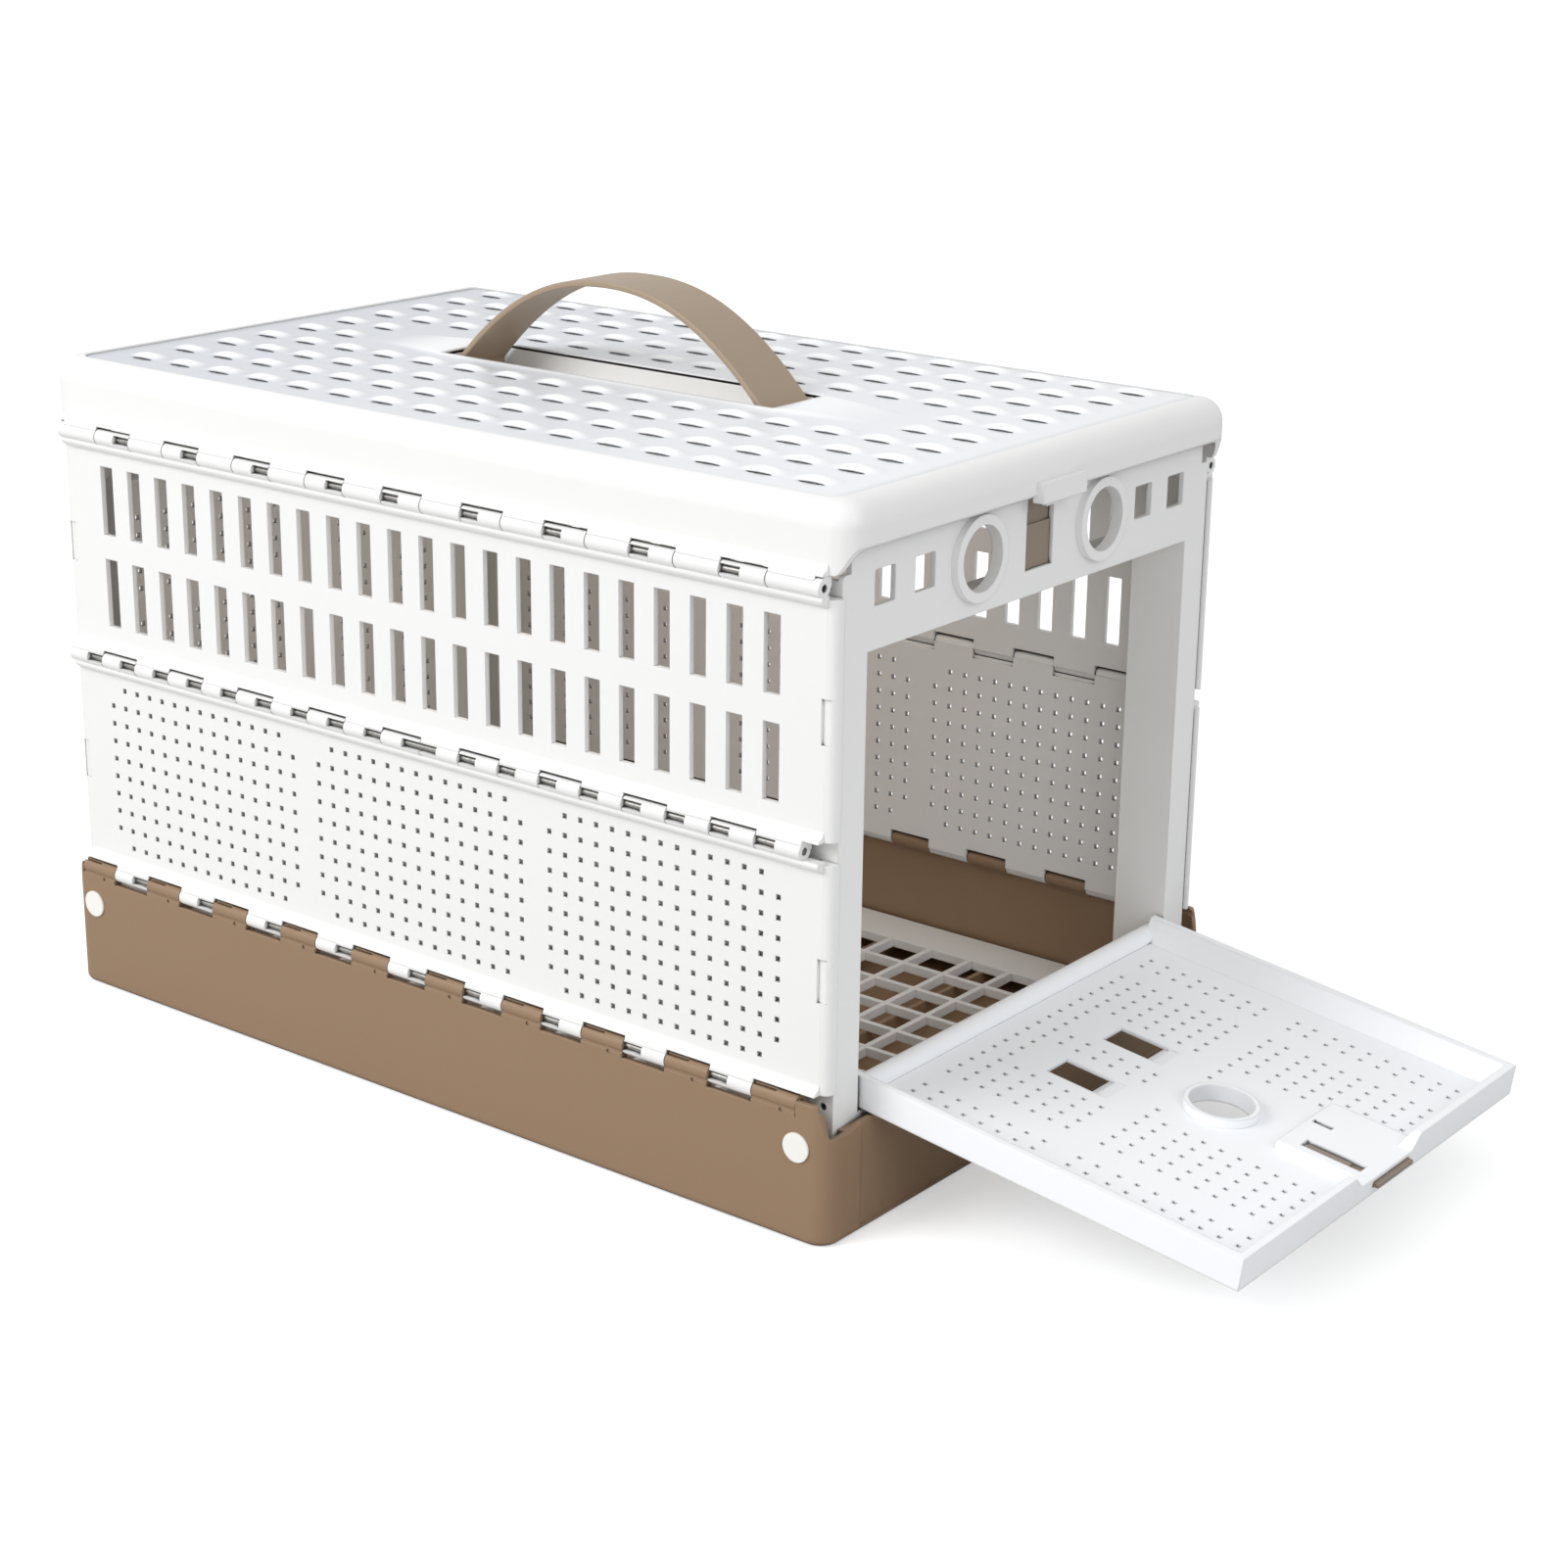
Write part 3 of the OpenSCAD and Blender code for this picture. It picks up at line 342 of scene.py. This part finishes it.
def web_shape():
    axis_out = 0.1333
    base_line, middle_line, lid_line = 0.056, 0.156, 0.256
    knuckles = 9
    pitch = 0.3865 / knuckles
    half_web = pitch / 4 - 0.0002
    half_rail = 0.207
    row_shift = -0.004
    odd = [(k - 4) * pitch for k in range(knuckles)]
    even = [(k - 4.5) * pitch for k in range(knuckles + 1)]
    # Sections as (outward, up) from the hinge axis.
    web = [
        (-0.0004, 0.0034), (-0.0004, 0.0046), (0.0009, 0.0056),
        (0.0018, 0.0046), (0.0024, 0.0026), (0.0016, 0.0030),
    ]
    rail = [
        (-0.0030, -0.0030), (0.0014, -0.0030), (0.0017, -0.0046),
        (0.0010, -0.0058), (-0.0016, -0.0076), (-0.0030, -0.0076),
    ]
    rows = ((base_line, odd, row_shift), (middle_line, even, row_shift), (lid_line, even, 0.0))
    shape = bmesh.new()
    for side in (-1, 1):
        for line, places, shift in rows:
            section = [(axis_out + out, line + up) for out, up in web]
            for x in places:
                pull_bar(shape, section, side, x + shift - half_web, x + shift + half_web)
        for line in (middle_line, lid_line):
            section = [(axis_out + out, line + up) for out, up in rail]
            pull_bar(shape, section, side, -half_rail, half_rail)
    bmesh.ops.recalc_face_normals(shape, faces=shape.faces)
    return shape


webs = link_mesh("hinge_webs", web_shape(), shell_white)
rounding = webs.modifiers.new("edges", "BEVEL")
rounding.width = 0.0003
rounding.segments = 2
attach(webs, "carrier")

# ---- woven field of the lid ----
# The lid's top is moulded like a coarse basket weave: a low hood stands behind each
# slit, and runs out flat towards the rim and towards the strap's recess.

field_ground = 0.28635


def smooth(value):
    value = min(max(value, 0.0), 1.0)
    return value * value * (3 - 2 * value)


def weave_shape():
    pitch = 0.0242
    columns, rows = 16, 10
    half_rows = rows / 2 * pitch
    field = (0.2056, 0.1241)
    recess = (0.092, 0.0175)
    hood, lip_share, drop = 0.0021, 0.24, 0.00045
    half_slit = 0.0076
    climb_end, run_out, drop_run = 0.0036, 0.0085, 0.006
    # The relief fades out before the rim, over these lengths.
    woven_x, rim_fade_x, rim_fade_y = 0.197, 0.006, 0.004
    # A plain patch surrounds the recess.
    plain_x, plain_y, plain_fade_x, plain_fade_y = 0.158, 0.030, 0.016, 0.008
    wedge_high, wedge_end, wedge_fall, wedge_flank = 0.0014, 0.148, 0.050, 0.004
    wedge_half, wedge_taper = 0.021, 0.16
    # Steps across one pitch, in millimetres from the slit, close together beside it.
    steps = [-12.1, -9.0, -6.4, -4.4, -2.8, -1.4, -0.4, 0.4, 1.1, 1.9, 2.8, 3.8, 4.9, 6.4, 8.2, 10.2]
    ys = [(j - (rows - 1) / 2) * pitch + step / 1000 for j in range(rows) for step in steps]
    ys = sorted([y for y in ys if abs(abs(y) - recess[1]) > 0.0009] + [half_rows, -recess[1], recess[1]])
    ys = [-field[1]] + ys + [field[1]]
    xs = [(i - columns * 6) * pitch / 12 for i in range(columns * 12 + 1)]
    xs = [x for x in xs if abs(abs(x) - recess[0]) > 0.001]
    xs = sorted(xs + [-field[0], -0.198, -recess[0], recess[0], 0.198, field[0]])

    def relief(x, y):
        """Height over the ground at a spot, and how open the slit is there."""
        if abs(y) > half_rows - 1e-6:
            return 0.0, 0.0
        dx = ((x / pitch - columns / 2) % 1.0 - 0.5) * pitch
        dy = ((y / pitch - rows / 2) % 1.0 - 0.5) * pitch
        calm = smooth((woven_x - abs(x)) / rim_fade_x) * smooth((half_rows - abs(y)) / rim_fade_y)
        pad = 1 - smooth((plain_x - abs(x)) / plain_fade_x) * smooth((plain_y - abs(y)) / plain_fade_y)
        # A low wedge stands at each of the strap's feet and falls towards the field.
        reach_y = wedge_half - wedge_taper * max(0.0, abs(x) - recess[0])
        flank = smooth((reach_y - abs(y)) / wedge_flank)
        wedge = wedge_high * smooth((wedge_end - abs(x)) / wedge_fall) * flank
        jump = max(0.0, 1 - (dx / half_slit) ** 2)
        if dy >= 0:
            # The hood starts as a low lip over the slit, climbs, and runs out behind.
            crest = abs(math.cos(math.pi * dx / pitch)) ** 1.3
            lip = lip_share * jump
            climb = lip + (1 - lip) * smooth(dy / climb_end)
            rise = hood * crest * climb * (1 - smooth((dy - climb_end) / run_out))
        else:
            rise = -drop * jump * (1 - smooth(-dy / drop_run))
        return rise * calm * pad + wedge * calm, jump * calm * pad

    def is_open(face):
        """True in the strap's recess, and in the narrow strip of each slit."""
        low_y = min(vert.co.y for vert in face.verts)
        high_y = max(vert.co.y for vert in face.verts)
        x, y = face.calc_center_median()[:2]
        if abs(x) < recess[0] and abs(y) < recess[1]:
            return True
        if abs((y / pitch - rows / 2) % 1.0 - 0.5) > 0.01 or high_y - low_y > 0.0009:
            return False
        return min(relief(vert.co.x, low_y)[1] for vert in face.verts) > 0.02

    shape = lay_grid(len(xs), len(ys), lambda i, j: (xs[i], ys[j], field_ground + relief(xs[i], ys[j])[0]))
    bmesh.ops.delete(shape, geom=[face for face in shape.faces if is_open(face)], context="FACES")
    for face in shape.faces:
        face.smooth = True
    return shape


def weave_finish():
    paint = Finish(bpy.data.materials.new("weave_white"), "Principled BSDF", Metallic=0.0, IOR=1.46)
    edges, rounded = paint.edge(0.0005)
    along = paint.node("SeparateXYZ", {}, {"Vector": paint.place()}, "X")
    height = paint.node("SeparateXYZ", {}, {"Vector": paint.place()}, "Z")
    # Polished crests over a finely matted ground. The crests are painted lighter as a painted highlight, and
    # the ground is a painted shade and reflection: cool grey at -X, lighter towards +X.
    crest = ((height - (field_ground + 0.0002)) * 900.0).clamp()
    ground = paint.mix((along * 2.5 + 0.5).clamp(), srgb(209, 212, 218), srgb(239, 241, 244))
    base = paint.mix(crest, ground, srgb(248, 249, 251))
    # Painted shade, near black, in the slits and other gaps.
    base = paint.mix(paint.crevice_shade(), base, srgb(26, 26, 28))
    rough = 0.4 - crest * 0.08 - edges * 0.05
    return paint.done(**{"Base Color": base, "Roughness": rough, "Normal": paint.grained(1600.0, rounded)})


weave = link_mesh("lid_woven_field", weave_shape(), weave_finish())
thicken = weave.modifiers.new("thickness", "SOLIDIFY")
thicken.thickness = 0.0008
thicken.offset = -1
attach(weave, "carrier")

# ---- studio ----
# A pale floor that stays white to the camera but keeps the carrier's shadow, soft
# light all round, and a large soft lamp on the left.

ground = Finish(bpy.data.materials.new("floor"), "Principled BSDF", Roughness=0.9)
seen = ground.node("LightPath", {}, {}, "Is Camera Ray")
ground.done(
    **{
        "Base Color": ground.mix(seen, (0.62, 0.62, 0.62, 1), (0.9, 0.9, 0.9, 1)),
        "Emission Color": ground.mix(seen, (0, 0, 0, 1), (0.42, 0.42, 0.42, 1)),
        "Emission Strength": 1.0,
    }
)
half_floor = 12.0
floor_shape = lay_grid(2, 2, lambda i, j: ((2 * i - 1) * half_floor, (2 * j - 1) * half_floor, 0))
link_mesh("floor", floor_shape, ground.owner)

world = bpy.data.worlds.new("studio")
bpy.context.scene.world = world
sky = Finish(world, "Background", Color=(1, 1, 1, 1))
direct, glossy, clear = [
    sky.node("LightPath", {}, {}, f"Is {kind} Ray") for kind in ("Camera", "Glossy", "Transmission")
]
sky_level = 0.66
sky.done(Strength=(direct + glossy + clear).clamp() * (1.0 - sky_level) + sky_level)


def lamp(name, spot, aim, size, power, tint=(1, 1, 1)):
    data = bpy.data.lights.new(name, "AREA")
    data.shape = "DISK"
    data.size = size
    data.energy = power
    data.color = tint
    holder = bpy.data.objects.new(name, data)
    holder.location = spot
    holder.rotation_euler = (Vector(aim) - Vector(spot)).to_track_quat("-Z", "Y").to_euler()
    holder.visible_camera = False
    bpy.context.scene.collection.objects.link(holder)


lamp("key", (-0.9, -2.2, 1.7), (0.0, 0.0, 0.12), 1.6, 42.0)
lamp("front fill", (2.4, -0.7, 1.5), (0.1, 0.0, 0.12), 1.4, 12.0, (0.96, 0.98, 1.0))
# The thin plastic lets light through, and this weak warm lamp under the lid stands in for it.
lamp("cabin glow", (0.0, 0.0, 0.262), (0.0, 0.0, 0.0), 0.2, 0.12, (1.0, 0.88, 0.75))

bpy.context.scene.view_settings.view_transform = "Standard"
